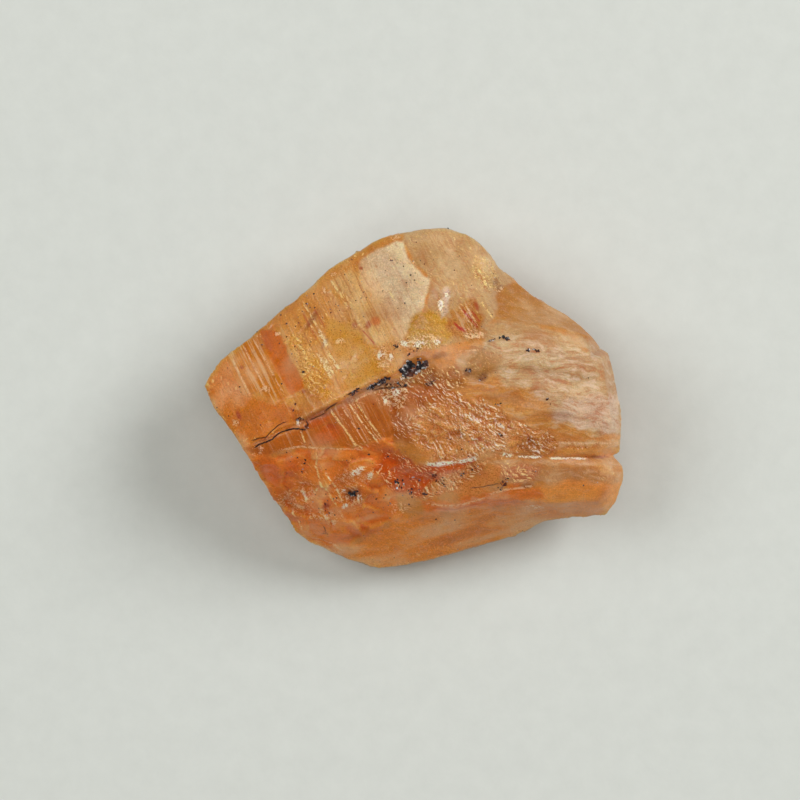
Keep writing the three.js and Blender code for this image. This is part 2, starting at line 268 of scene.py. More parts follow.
# What each patch of the crystal is like. Tone is as a screen shows it. Clear and rough run from 0 to 1.
# Striped, sugar, frost, mottled, chipped and swept say how much of that texture it has. The blur of a rim is
# in mm. A fade runs from its first pixel to its second. Later patches lie on top. The flank lies under all.

flank = {"tone": (222, 138, 60), "clear": 0.6, "rough": 0.38, "chipped": 0.4, "mottled": 0.2, "striped": 0.3,
         "frost": 0.3}

patches = {
    "whole top": {
        "rim": ((180, 200), (660, 200), (660, 600), (180, 600)),
        "blur": 0.1, "tone": (224, 149, 67), "clear": 0.4, "rough": 0.38, "mottled": 0.25, "frost": 0.2},
    "west face": {
        "rim": ((190, 386), (219, 345), (300, 282), (352, 241), (400, 222), (412, 263), (431, 281),
            (424, 309), (410, 340), (400, 368), (375, 384), (335, 404), (300, 424), (270, 436), (243, 450)),
        "blur": 0.15, "tone": (232, 161, 69), "clear": 0.4, "rough": 0.35, "striped": 0.6,
        "mottled": 0.35},
    "north rim": {
        "rim": ((200, 380), (215, 345), (300, 282), (352, 238), (400, 222), (440, 222), (440, 238),
            (400, 243), (372, 251), (340, 276), (300, 308), (262, 336), (232, 358), (212, 378)),
        "blur": 0.35, "tone": (239, 164, 78), "clear": 0.5, "rough": 0.35, "mottled": 0.3},
    "tip": {
        "rim": ((195, 386), (208, 362), (226, 352), (243, 392), (268, 400), (305, 410), (300, 424),
            (270, 436), (243, 450), (220, 420)),
        "blur": 0.25, "tone": (217, 123, 3), "clear": 0.22, "rough": 0.6, "mottled": 0.4,
        "striped": 0.15},
    "pale stripes": {
        "rim": ((226, 354), (245, 341), (259, 338), (276, 365), (292, 396), (275, 401), (262, 393),
            (244, 394)),
        "blur": 0.1, "tone": (215, 131, 21), "clear": 0.25, "rough": 0.4, "striped": 1.0},
    "window": {
        "rim": ((261, 331), (276, 333), (285, 340), (288, 352), (296, 366), (306, 386), (300, 392),
            (292, 396), (283, 380), (272, 360), (263, 343)),
        "blur": 0.07, "tone": (235, 124, 1), "clear": 0.6, "rough": 0.4, "striped": 0.1},
    "speckled gold": {
        "rim": ((284, 340), (303, 333), (322, 365), (338, 396), (320, 403), (306, 388), (297, 361)),
        "blur": 0.15, "tone": (237, 169, 57), "clear": 0.4, "rough": 0.3, "mottled": 0.75},
    "gold": {
        "rim": ((326, 318), (352, 322), (372, 344), (384, 362), (372, 380), (348, 389), (338, 366),
            (330, 345)),
        "blur": 0.2, "tone": (249, 175, 59), "clear": 0.6, "rough": 0.3, "mottled": 0.25},
    "pale gold": {
        "rim": ((333, 282), (352, 266), (372, 300), (392, 335), (384, 352), (366, 338), (350, 312)),
        "blur": 0.25, "tone": (236, 187, 116), "clear": 0.3, "rough": 0.4, "striped": 0.8,
        "mottled": 0.3},
    # Pale tone of the stone, with a painted sheen of soft light on this facet, growing towards its east side
    "cream and sheen": {
        "rim": ((358, 264), (378, 249), (403, 243), (411, 262), (431, 281), (424, 309), (411, 330),
            (398, 344), (384, 322), (366, 290)),
        "blur": 0.1, "fade": ((362, 312), (398, 290)), "tone": (240, 217, 174), "clear": 0.1,
        "rough": 0.5, "frost": 0.25, "mottled": 0.25, "striped": 0.3},
    "north knob": {
        "rim": ((403, 222), (445, 215), (488, 235), (512, 270), (515, 290), (493, 320), (470, 338),
            (430, 350), (411, 340), (424, 309), (431, 281), (411, 262), (405, 243)),
        "blur": 0.1, "tone": (210, 168, 111), "clear": 0.4, "rough": 0.4, "frost": 0.15, "mottled": 0.35,
        "striped": 0.35},
    "amber": {
        "rim": ((412, 320), (428, 306), (446, 320), (452, 334), (440, 346), (420, 352), (406, 345)),
        "blur": 0.18, "tone": (213, 160, 60), "clear": 0.3, "rough": 0.25, "mottled": 0.4},
    "light patch": {
        "rim": ((437, 256), (450, 252), (459, 266), (457, 282), (446, 280), (438, 268)),
        "blur": 0.12, "tone": (210, 174, 125), "clear": 0.15, "rough": 0.4},
    # Pale gold with broken scales, partly painted golden glints
    "knob gold glints": {
        "rim": ((470, 254), (486, 254), (498, 278), (504, 296), (488, 288), (474, 272)),
        "blur": 0.15, "tone": (222, 179, 112), "clear": 0.4, "rough": 0.25, "mottled": 1.0},
    "red veins": {
        "rim": ((450, 312), (470, 302), (482, 320), (478, 338), (458, 338), (448, 330)),
        "blur": 0.15, "tone": (204, 137, 55), "clear": 0.5, "rough": 0.3, "striped": 0.9, "mottled": 0.4},
    "east slope": {
        "rim": ((496, 290), (516, 282), (545, 288), (580, 305), (612, 345), (590, 342), (560, 333),
            (533, 327), (495, 320)),
        "blur": 0.15, "tone": (193, 125, 23), "clear": 0.3, "rough": 0.5, "frost": 0.25},
    "crest": {
        "rim": ((478, 330), (494, 320), (533, 327), (565, 334), (592, 343), (606, 352), (570, 350),
            (520, 342), (486, 342)),
        "blur": 0.15, "tone": (197, 156, 103), "clear": 0.2, "rough": 0.45, "frost": 0.5},
    # Pale pinkish tone with frosted bands, partly a painted sheen of soft light
    "east field": {
        "rim": ((468, 352), (500, 342), (560, 345), (606, 352), (640, 385), (640, 445), (600, 446),
            (555, 437), (528, 424), (500, 402), (470, 385), (455, 368)),
        "blur": 0.25, "tone": (204, 173, 127), "clear": 0.12, "rough": 0.45, "frost": 1.0},
    "east orange": {
        "rim": ((455, 380), (492, 372), (525, 382), (535, 398), (560, 415), (600, 432), (590, 446),
            (530, 430), (490, 408), (455, 395)),
        "blur": 0.35, "tone": (232, 165, 81), "clear": 0.35, "rough": 0.4, "frost": 0.7},
    # Partly a painted pinkish-white sheen
    "east end": {
        "rim": ((600, 350), (640, 380), (640, 445), (610, 446), (604, 420), (598, 380)),
        "blur": 0.3, "tone": (195, 151, 103), "clear": 0.2, "rough": 0.45, "frost": 0.6},
    "below the grains": {
        "rim": ((388, 384), (405, 378), (440, 366), (462, 368), (466, 388), (440, 394), (410, 390)),
        "blur": 0.2, "tone": (182, 109, 32), "clear": 0.3, "rough": 0.35, "mottled": 0.8, "sugar": 0.2},
    "gray patch": {
        "rim": ((462, 358), (480, 352), (500, 358), (494, 372), (478, 384), (466, 378)),
        "blur": 0.25, "tone": (185, 132, 69), "clear": 0.2, "rough": 0.5, "mottled": 0.5},
    "middle field": {
        "rim": ((372, 388), (405, 384), (440, 385), (462, 396), (440, 420), (425, 440), (395, 442),
            (380, 430)),
        "blur": 0.3, "tone": (195, 103, 15), "clear": 0.35, "rough": 0.38, "sugar": 0.7, "striped": 0.3},
    "sugar field": {
        "rim": ((418, 408), (450, 392), (492, 402), (530, 428), (600, 444), (592, 454), (500, 454),
            (478, 458), (440, 464), (418, 452), (410, 430)),
        "blur": 0.25, "tone": (227, 152, 80), "clear": 0.3, "rough": 0.28, "sugar": 1.0},
    "bar top": {
        "rim": ((494, 462), (520, 460), (590, 461), (622, 458), (640, 476), (615, 486), (560, 483),
            (520, 486), (500, 480)),
        "blur": 0.12, "tone": (203, 146, 88), "clear": 0.15, "rough": 0.42, "frost": 0.4, "mottled": 0.3},
    "bar side": {
        "rim": ((500, 486), (520, 485), (560, 482), (615, 484), (640, 478), (628, 520), (560, 530),
            (530, 510)),
        "blur": 0.25, "tone": (242, 158, 70), "clear": 0.2, "rough": 0.4, "frost": 0.2},
    "flow": {
        "rim": ((424, 502), (455, 498), (490, 490), (515, 484), (540, 486), (545, 498), (500, 508),
            (455, 514), (425, 512)),
        "blur": 0.2, "tone": (236, 128, 41), "swept": 0.8, "clear": 0.2, "rough": 0.38, "frost": 0.4},
    "south slope": {
        "rim": ((330, 570), (345, 545), (400, 518), (450, 512), (500, 506), (540, 505), (600, 520),
            (575, 540), (505, 575), (400, 600)),
        "blur": 0.3, "tone": (255, 151, 41), "swept": 1.0, "clear": 0.25, "rough": 0.5, "frost": 0.22,
        "mottled": 0.3},
    "red face": {
        "rim": ((243, 450), (270, 437), (300, 425), (335, 405), (375, 386), (390, 400), (392, 436),
            (352, 447), (300, 448), (262, 456)),
        "blur": 0.1, "tone": (217, 122, 32), "clear": 0.5, "rough": 0.42, "striped": 0.7},
    "south-west field": {
        "rim": ((225, 445), (262, 456), (300, 449), (352, 448), (392, 436), (404, 462), (380, 474),
            (396, 495), (400, 518), (345, 548), (330, 575), (280, 545), (240, 500)),
        "blur": 0.12, "tone": (253, 142, 53), "swept": 0.9, "clear": 0.3, "rough": 0.38, "chipped": 0.55,
        "mottled": 0.15},
    # Pale lobes of the east field, partly a painted sheen
    "lobe one": {
        "rim": ((494, 374), (510, 366), (530, 370), (536, 382), (524, 390), (504, 388)),
        "blur": 0.14, "tone": (208, 173, 121), "clear": 0.1, "rough": 0.45, "frost": 1.0},
    "lobe two": {
        "rim": ((532, 388), (545, 382), (566, 382), (578, 390), (572, 398), (550, 400), (536, 398)),
        "blur": 0.14, "tone": (209, 173, 126), "clear": 0.1, "rough": 0.45, "frost": 1.0},
    "lobe three": {
        "rim": ((548, 410), (566, 402), (590, 394), (618, 396), (622, 430), (600, 434), (575, 428),
            (556, 422)),
        "blur": 0.16, "tone": (216, 183, 152), "clear": 0.1, "rough": 0.45, "frost": 0.9},
    "orange tongue": {
        "rim": ((484, 388), (505, 390), (530, 398), (548, 408), (540, 416), (515, 408), (492, 400)),
        "blur": 0.2, "tone": (227, 162, 93), "clear": 0.4, "rough": 0.4, "frost": 0.35},
    "orange strip": {
        "rim": ((552, 432), (585, 436), (624, 434), (624, 441), (585, 442), (556, 440)),
        "blur": 0.1, "tone": (228, 154, 76), "clear": 0.3, "rough": 0.4, "frost": 0.4},
    "pale ledge": {
        "rim": ((556, 441), (585, 441), (620, 440), (622, 446), (585, 447), (558, 447)),
        "blur": 0.06, "tone": (224, 166, 103), "clear": 0.1, "rough": 0.4, "frost": 0.8},
    "groove": {
        "rim": ((556, 448), (590, 448), (624, 447), (622, 455), (588, 456), (556, 455)),
        "blur": 0.08, "tone": (243, 168, 81), "clear": 0.4, "rough": 0.35, "frost": 0.3},
    "bar speckles": {
        "rim": ((500, 467), (520, 464), (538, 470), (534, 480), (515, 482), (500, 476)),
        "blur": 0.15, "tone": (215, 143, 98), "clear": 0.15, "rough": 0.35, "mottled": 1.0},
    "white lens": {
        "rim": ((446, 287), (452, 290), (449, 302), (448, 313), (441, 319), (438, 306), (441, 296)),
        "blur": 0.05, "tone": (202, 171, 140), "clear": 0.0, "rough": 0.3, "chipped": 0.3},
    "gem hollow": {
        "rim": ((384, 452), (424, 464), (480, 459), (462, 474), (440, 488), (424, 498), (396, 492),
            (376, 470)),
        "blur": 0.2, "tone": (233, 93, 1), "clear": 0.35, "rough": 0.4, "sugar": 0.2, "mottled": 0.9,
        "swept": 0.7},
    "speckled ridge": {
        "rim": ((420, 500), (424, 488), (448, 474), (474, 462), (488, 460), (484, 470), (462, 484),
            (440, 496)),
        "blur": 0.1, "tone": (229, 140, 64), "clear": 0.2, "rough": 0.3, "mottled": 1.0, "sugar": 0.4},
    "ridge facet": {
        "rim": ((455, 492), (470, 480), (490, 464), (500, 470), (496, 484), (478, 494)),
        "blur": 0.15, "tone": (255, 162, 83), "clear": 0.6, "rough": 0.3, "mottled": 0.3},
}

# Small places that differ: centre, half length and half width in pixels, and turn in degrees
spots = {
    # Pale flakes; those by the dark grains, by the crack and on the pale north facet are painted glints and
    # highlights
    "pale flakes and highlights": {
        "share": 0.66,
        "ovals": ((277, 332, 4, 3, 40), (325, 292, 3, 4, 0), (334, 275, 4, 3, 0), (235, 423, 4, 3, 0),
            (266, 390, 6, 3, 10), (259, 450, 8, 6, 20), (297, 506, 10, 4, -15), (322, 515, 9, 4, -25),
            (333, 523, 5, 3, 0), (340, 342, 5, 4, 0), (500, 290, 4, 3, 0), (535, 507, 11, 3, -8),
            (396, 240, 5, 3, 0), (372, 259, 9, 2, 35), (419, 343, 25, 9, 0), (383, 358, 9, 13, 15),
            (395, 396, 18, 14, 0), (474, 336, 12, 6, 0), (400, 262, 14, 5, -10), (414, 290, 8, 12, 20))},
    # White flakes, partly white bits of the stone and partly painted glints
    "white flakes and glints": {
        "share": 0.9,
        "ovals": ((426, 366, 3, 3, 0), (402, 379, 4, 3, 20), (299, 424, 3, 4, 20), (441, 306, 4, 8, 10),
            (446, 294, 2.5, 4, -10), (357, 471, 9, 5, 25), (370, 477, 4, 5, 0), (345, 507, 5, 3, 30),
            (343, 491, 3, 3, 0), (361, 496, 4, 6, 20), (382, 356, 5, 6, 20), (392, 358, 4, 5, 0),
            (405, 344, 4, 6, 60), (420, 345, 8, 5, 10), (437, 343, 5, 4, 10), (406, 379, 3, 2, 0),
            (386, 399, 3, 6, -10), (397, 393, 5, 4, 0))},
    "faint flakes": {
        "share": 0.5,
        "ovals": ((285, 500, 16, 8, 40), (318, 512, 26, 8, -12), (352, 480, 18, 14, 0),
            (352, 497, 18, 14, 0), (306, 490, 12, 16, 20), (400, 508, 12, 6, 0))},
    "red spot": {
        "tone": (176, 44, 14), "clear": 0.3, "share": 0.8,
        "ovals": ((238, 415, 2.5, 5, 10), (333, 426, 4.5, 3, -30), (325, 507, 3.5, 3, 0),
            (369, 325, 4, 3, 40), (355, 325, 3, 2.5, 0), (461, 331, 6, 2.5, -20), (476, 306, 2, 5, 20),
            (305, 391, 3, 2.5, 0), (361, 269, 1.8, 1.8, 0), (243, 368, 2, 2, 0), (352, 500, 3, 2.5, 0),
            (479, 440, 3, 3, 0))},
    "amber spot": {
        "tone": (236, 104, 22), "clear": 0.5, "share": 0.6,
        "ovals": ((377, 322, 5, 5, 0), (270, 470, 16, 10, -50), (291, 466, 8, 12, 20), (318, 420, 16, 6, 25),
            (330, 434, 14, 9, 20), (398, 470, 20, 9, 10))},
    "brown specks and groove shade": {
        # Brown specks, darker streaks along the crack, and painted shade in the groove
        "tone": (132, 76, 40), "clear": 0.2, "share": 0.65,
        "ovals": ((322, 413, 22, 5, 25), (352, 399, 12, 4, 25), (392, 384, 24, 5, 8), (372, 388, 12, 3, 20),
            (430, 382, 6, 5, 30), (467, 371, 5, 4, 30), (482, 378, 5, 4, 20), (495, 283, 3, 4, 0),
            (499, 288, 3, 3, 0), (353, 493, 9, 6, 30), (440, 357, 9, 3, 15), (526, 485, 7, 3, 0),
            # The last oval here, in the groove, is painted shade
            (311, 320, 3, 12, -30), (325, 344, 2, 8, -28), (597, 457, 8, 2, 0))},
}

# Fine lines: half width in pixels, strength, and the pixels they run through
# Weaker pale lines are growth lines in the stone; the strong gold ones are partly painted glints, and the
# white ones along the ledge rims are painted highlights
paleLinesAndHighlights = (
    (1.8, 0.84, ((318, 328), (324, 339), (329, 349))), (1.5, 0.82, ((327, 350), (334, 361), (342, 373))),
    (1.5, 0.82, ((317, 352), (325, 366), (333, 380))), (1.3, 0.8, ((324, 356), (336, 377))),
    (0.9, 0.7, ((330, 279), (340, 293), (349, 309))), (1.0, 0.7, ((302, 300), (318, 328))),
    (1.1, 0.7, ((386, 288), (392, 296), (398, 305))), (0.8, 0.5, ((232, 358), (252, 397))),
    (0.9, 0.5, ((243, 345), (268, 392))), (0.8, 0.5, ((254, 340), (286, 397))),
    (0.9, 0.72, ((352, 397), (364, 413), (383, 439))), (0.9, 0.8, ((347, 400), (362, 422), (380, 444))),
    (1.1, 0.7, ((330, 409), (344, 427), (356, 444), (364, 450))),
    (0.8, 0.6, ((341, 405), (356, 428), (370, 449))), (0.9, 0.7, ((301, 429), (304, 438), (307, 446))),
    (1.0, 0.6, ((278, 450), (301, 446), (319, 448), (364, 450))),
    (1.0, 0.75, ((319, 453), (316, 466), (320, 478), (328, 494), (338, 508))),
    (1.0, 0.8, ((325, 470), (332, 482), (338, 492), (343, 503))),
    (1.6, 0.9, ((301, 489), (305, 496), (309, 502))), (1.4, 0.8, ((315, 485), (320, 492))),
    (0.8, 0.7, ((291, 508), (298, 520), (303, 530))), (1.0, 0.6, ((305, 541), (320, 546), (340, 556))),
    (0.8, 0.5, ((310, 537), (330, 543), (346, 552))), (0.8, 0.75, ((480, 300), (486, 310), (493, 320))),
    (0.8, 0.6, ((458, 306), (466, 318), (474, 330))), (0.8, 0.6, ((464, 304), (471, 315), (478, 328))),
    # Painted highlights along the rims of the ledges and the groove
    (2.2, 0.96, ((424, 462), (432, 464), (445, 463), (460, 461), (479, 457))),
    (1.9, 0.96, ((499, 453), (506, 455), (514, 456))),
    (1.2, 0.95, ((514, 457), (530, 456.5), (545, 456.5))),
    (1.1, 0.92, ((547, 458), (566, 458), (588, 458.5))), (1.0, 0.5, ((557, 442), (584, 443), (616, 443))),
    (1.0, 0.6, ((425, 503), (440, 505), (456, 505), (472, 501), (487, 496))),
    (1.1, 0.6, ((487, 494), (505, 489), (520, 487), (534, 485))),
    (0.8, 0.5, ((456, 352), (468, 351), (480, 350))), (0.9, 0.6, ((352, 402), (368, 394), (386, 390))),
)
crackLines = (
    (0.544, 0.9, ((251, 441), (259, 438), (267, 437), (272, 431), (279, 425), (288, 421))),
    (0.816, 1.0, ((254, 449), (260, 444), (272, 440), (277, 435), (284, 431), (294, 429), (300, 429),
                  (308, 430))),
    (0.952, 1.0, ((295, 421), (300, 418), (305, 419))), (1.02, 0.9, ((305, 430), (309, 424), (306, 419))),
    (0.612, 0.8, ((309, 421), (318, 417), (327, 412))), (0.68, 0.8, ((324, 412), (330, 407), (339, 402))),
    (0.8, 1.0, ((345, 396), (352, 393), (361, 388))),
    (0.9, 1.0, ((366, 390), (374, 386), (384, 380), (392, 377))),
    (0.816, 0.7, ((372, 391), (384, 388), (396, 388), (410, 386))),
    (0.544, 0.7, ((392, 352), (396, 348), (399, 342))), (0.68, 0.7, ((485, 343), (490, 341), (495, 340))),
    (0.544, 0.7, ((322, 524), (325, 528), (326, 534))), (0.544, 0.7, ((320, 534), (330, 533))),
    (0.544, 0.7, ((468, 488), (484, 486), (500, 483))),
)
# Red veins, and painted shade along the groove
redLinesAndGrooveShade = (
    (1.0, 0.9, ((461, 309), (469, 318), (478, 330))), (1.2, 1.0, ((452, 322), (458, 328), (466, 334))),
    (1.0, 0.8, ((470, 310), (480, 324))), (0.8, 0.7, ((361, 329), (368, 337), (376, 346))),
    (1.0, 0.35, ((430, 508), (455, 509), (470, 505), (488, 500))),
    (0.9, 0.5, ((302, 312), (312, 330), (318, 341))), (0.8, 0.5, ((314, 308), (326, 330))),
    # Painted shade along the groove
    (1.4, 0.4, ((594, 457), (612, 456))),
)


def crystalPoints():
    points, faces = merged(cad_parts["topaz_crystal"])
    upness = normalsOf(points, faces)[:, 2:]

    def longest(middles):
        top = ramp(middles[:, 3], -0.1, 0.1)
        foot = 1 - ramp(middles[:, 2], 0.02, 0.1)
        size = crystal["sideEdge"] + (crystal["topEdge"] - crystal["sideEdge"]) * top
        return size + (crystal["footEdge"] - size) * foot

    points, faces = cutFiner(np.hstack([points, upness]), faces, longest)
    points = points[:, :3]
    foot = points[:, 2] < crystal["footHeight"]
    smooth = relaxed(points, faces, crystal["smoothRounds"], crystal["smoothShare"])
    normals = normalsOf(smooth, faces)
    # The sides get back what relaxing took
    smooth += crystal["swell"] * normals * (1 - np.abs(normals[:, 2:])) ** 2
    smooth = relaxed(smooth, faces, 2, crystal["smoothShare"])
    smooth[:, 2] = np.where(foot, 0, np.maximum(smooth[:, 2], 0))
    return smooth, faces


def linear(r, g, b):        # a colour as a screen shows it, 0 to 255, as a shader takes it
    return [((v / 255 + 0.055) / 1.055) ** 2.4 if v > 10 else v / 255 / 12.92 for v in (r, g, b)]


def colour(r, g, b):
    return (*linear(r, g, b), 1.0)


def painted(points, up):        # each point's tone, clearness, roughness and textures
    flat = points[:, :2]
    bends = np.stack([rough(points, 0.9, 3, 7), rough(points, 0.9, 3, 8)], axis=1)
    frayed = rough(points, 0.7, 3, 9)
    kinds = ("clear", "rough", "striped", "sugar", "frost", "mottled", "chipped", "swept")
    paint = {kind: np.full(len(points), float(flank.get(kind, 0))) for kind in kinds}
    paint["tone"] = np.tile(linear(*flank["tone"]), (len(points), 1))

    def lay(patch, share):
        paint["tone"] += share[:, None] * (np.array(linear(*patch["tone"])) - paint["tone"])
        for kind in kinds:
            if kind in patch or "share" not in patch:
                paint[kind] += share * (patch.get(kind, 0) - paint[kind])

    for patch in patches.values():
        blur = patch["blur"]
        share = up * inPatch(flat, line(patch["rim"]), blur, frayed * min(crystal["frayed"], 1.3 * blur))
        if "fade" in patch:
            start, end = line(patch["fade"])
            share = share * ramp((flat - start) @ (end - start) / np.sum((end - start) ** 2), 0, 1)
        lay(patch, share)
    paint["chipsAndGlints"] = np.zeros(len(points))
    for spot in spots.values():
        for oval in spot["ovals"]:
            share = up * spot["share"] * inOval(flat + crystal["ovalWander"] * bends, *oval)
            if "tone" in spot:
                lay(spot, share)
            else:
                paint["chipsAndGlints"] = np.maximum(paint["chipsAndGlints"], share)
    along, across = turned(flat, crystal["sweptLie"])
    swept = rough(np.stack([along / 6, across, points[:, 2] / 2], axis=1), 0.6, 4, 52)
    paint["veil"] = 0.7 * rough(points, 1.3, 4, 50) + paint.pop("swept") * swept
    paint["gather"] = rough(points, 0.9, 3, 51)
    paint["tone"] = np.hstack([paint["tone"], np.ones((len(points), 1))])
    for kind, lines in (("pale", paleLinesAndHighlights), ("crack", crackLines), ("red", redLinesAndGrooveShade)):
        paint[kind + "Side"], share = lineField(flat + crystal["lineWander"] * bends, lines)
        paint[kind + "Line"] = share * up
    return paint


def relief(points, normals, paint):        # how far each point stands off, by lumps with their size in mm
    along, across = turned(points[:, :2], crystal["axis"])
    lengthwise = np.stack([across, along / 14, points[:, 2] / 14], axis=1)
    growth = soft(lengthwise, 0.34, 11) + 0.6 * soft(lengthwise, 0.17, 12) + 0.8 * soft(lengthwise, 0.8, 13)
    height = crystal["waves"] * rough(points, 2.2, 3, 1)
    height += crystal["striped"] * growth * paint["striped"] * ramp(rough(points, 2.0, 2, 14), -0.7, 0.5)

    along, across = turned(points[:, :2], crystal["sugarLie"])
    scales = np.stack([along / 1.8, across, points[:, 2]], axis=1) + 0.1 * soft(points, 0.6, 15)[:, None]
    height += crystal["sugar"] * paint["sugar"] * facets(scales, 0.4, 16)

    along, across = turned(points[:, :2], crystal["flowLie"])
    flow = np.stack([along / 5, across + 0.12 * soft(points, 1.5, 20), points[:, 2] / 2], axis=1)
    bands = 1 - 2 * np.abs(soft(flow, 0.55, 21)) + 0.5 * soft(flow, 0.25, 22)
    height += crystal["frost"] * paint["frost"] * bands * 0.5

    bent = points + 0.15 * soft(points, 0.9, 24)[:, None]
    height += crystal["mottled"] * paint["mottled"] * facets(bent, 0.36, 26)
    height += crystal["chipped"] * paint["chipped"] * (facets(bent, 1.1, 30) + 0.5 * facets(bent, 0.45, 34))
    height *= ramp(np.abs(normals[:, 2]), 0.0, 0.4)
    under = ramp(-normals[:, 2], 0.3, 0.7)
    return height + under * crystal["sides"] * (facets(bent, 2.6, 40) + 0.5 * facets(bent, 0.9, 44))


points, faces = crystalPoints()
print("crystal mesh:", len(points), "points,", len(faces), "triangles")
normals = normalsOf(points, faces)
up = ramp(normals[:, 2], -0.1, 0.15)
paint = painted(points, up)
print("crystal painted")
foot = points[:, 2] < crystal["footHeight"]
points = points + normals * np.where(foot, 0, relief(points, normals, paint))[:, None]
points[:, 2] = np.maximum(points[:, 2], 0)
stone = meshObject("rawTopaz", points, faces, paint)
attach(stone, "root")
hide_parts("topaz_crystal")
print("crystal shaped")


# Dark mineral grains, sunk into the surface

grains = {
    "seed": 11, "sink": 0.25,        # share of a grain's size that is under the surface
    "turns": 6, "rings": 4, "lumpy": (0.55, 1.3), "uneven": (0.6, 1.35), "flat": 0.7,
    "groupScale": 1.35, "singleScale": 1.15, "lowest": 1, "castFrom": 20,        # scales, and heights in mm
    # Groups: centre, half length and half width in pixels, turn, how many, and their sizes in pixels
    "groups": (
        (414, 367, 14, 7, 20, 60, 2.2, 4.2), (403, 372, 6, 5, 0, 14, 2.0, 3.4),
        (379, 383, 14, 3.2, 25, 44, 0.8, 2.6), (353, 393, 9, 2, 27, 20, 0.7, 2.0),
        (395, 386, 16, 3, 5, 12, 1.2, 2.2), (503, 339, 6, 1.5, -4, 11, 1.4, 2.6),
        (490, 341, 6, 1, 20, 5, 0.9, 1.4), (531, 351, 7, 1.3, 0, 9, 1.2, 2.2),
        (353, 493, 6, 3.5, 30, 10, 1.6, 3.0), (397, 481, 3, 3, 0, 4, 1.6, 3.0),
        (424, 494, 3, 3, 20, 4, 1.6, 3.0), (410, 490, 3, 4, 60, 4, 1.2, 2.2),
        (461, 474, 4, 1.6, 35, 4, 1.4, 2.4), (475, 468, 4, 1.4, 35, 3, 1.2, 1.8),
        (432, 476, 4, 2, 20, 4, 1.2, 2.2), (503, 484, 8, 3, 50, 16, 1.0, 2.0),
        (500, 434, 3, 2, 0, 4, 1.4, 2.2), (497, 404, 3, 2, 20, 4, 1.2, 1.8),
        (301, 420, 5, 1.5, 10, 6, 1.2, 2.0), (307, 427, 2, 4, 0, 5, 1.2, 2.0),
        (431, 383, 5, 3, 30, 8, 1.0, 2.2), (467, 372, 3, 2.5, 30, 5, 1.0, 2.0),
        (482, 378, 4, 2, 30, 5, 1.0, 1.8), (397, 348, 2, 5, 50, 7, 1.0, 1.8),
        (412, 352, 8, 5, 0, 7, 0.9, 1.6), (408, 486, 16, 9, 20, 14, 1.0, 2.0),
        (445, 482, 14, 5, -25, 12, 0.9, 1.8), (330, 505, 14, 12, 0, 10, 0.8, 1.5),
        (300, 470, 14, 14, 0, 8, 0.8, 1.5), (380, 500, 14, 8, 0, 8, 0.8, 1.5),
        (455, 440, 20, 12, 0, 10, 0.7, 1.3), (300, 330, 30, 20, 40, 14, 0.8, 1.4),
        (345, 300, 30, 20, 40, 12, 0.8, 1.4), (400, 280, 25, 20, 0, 12, 0.7, 1.3),
    ),
    "single": ((304, 372, 2.6), (287, 324, 2.0), (281, 315, 2.0), (307, 304, 2.2), (314, 294, 1.8),
        (307, 296, 1.4), (352, 260, 2.0), (391, 261, 1.6), (262, 345, 1.6), (268, 322, 1.8), (257, 332, 1.6),
        (295, 347, 1.4), (340, 322, 1.4), (364, 317, 1.4), (356, 301, 1.4), (240, 387, 1.4), (282, 384, 1.8),
        (314, 367, 1.6), (398, 309, 1.4), (405, 304, 1.4), (296, 404, 2.4), (294, 410, 2.0), (359, 428, 2.2),
        (369, 454, 2.4), (388, 456, 2.2), (305, 463, 2.4), (287, 452, 1.6), (325, 503, 1.6), (409, 504, 1.6),
        (436, 519, 2.0), (455, 520, 1.4), (546, 399, 2.4), (549, 404, 1.4), (587, 378, 1.4), (500, 424, 1.4),
        (535, 471, 1.6), (583, 485, 1.4), (597, 482, 1.4), (373, 512, 1.6), (390, 518, 1.4), (413, 262, 1.6),
        (454, 271, 1.6), (416, 243, 1.4), (448, 229, 1.6), (468, 456, 1.4), (412, 497, 1.6), (404, 458, 1.6),
        (461, 449, 1.4)),
    "dust": 260, "dustSize": (0.5, 1.2),        # tiny ones, scattered where the stone is mottled or clear
}


def grainShape(spin, size):        # a small lump with flat sides
    rings = grains["rings"]
    turns = grains["turns"]
    corners = [(0, 0, -1)]
    for ring in range(1, rings):
        height = -math.cos(math.pi * ring / rings)
        for turn in range(turns):
            angle = 2 * math.pi * (turn + 0.5 * ring) / turns
            wide = math.sqrt(1 - height * height)
            corners.append((wide * math.cos(angle), wide * math.sin(angle), height))
    corners.append((0, 0, 1))
    corners = np.array(corners) * size * spin.uniform(*grains["lumpy"], (len(corners), 1))
    corners = corners * spin.uniform(*grains["uneven"], 3)
    angle = spin.uniform(0, 2 * math.pi)
    c, s = math.cos(angle), math.sin(angle)
    corners = corners @ np.array([[c, -s, 0], [s, c, 0], [0, 0, grains["flat"]]])
    last = len(corners) - 1
    sides = []
    for turn in range(turns):
        after = (turn + 1) % turns
        sides.append((0, 1 + after, 1 + turn))
        sides.append((last, last - turns + turn, last - turns + after))
        for ring in range(rings - 2):
            low, high = 1 + ring * turns, 1 + (ring + 1) * turns
            sides.append((low + turn, low + after, high + turn))
            sides.append((low + after, high + after, high + turn))
    return corners, np.array(sides)


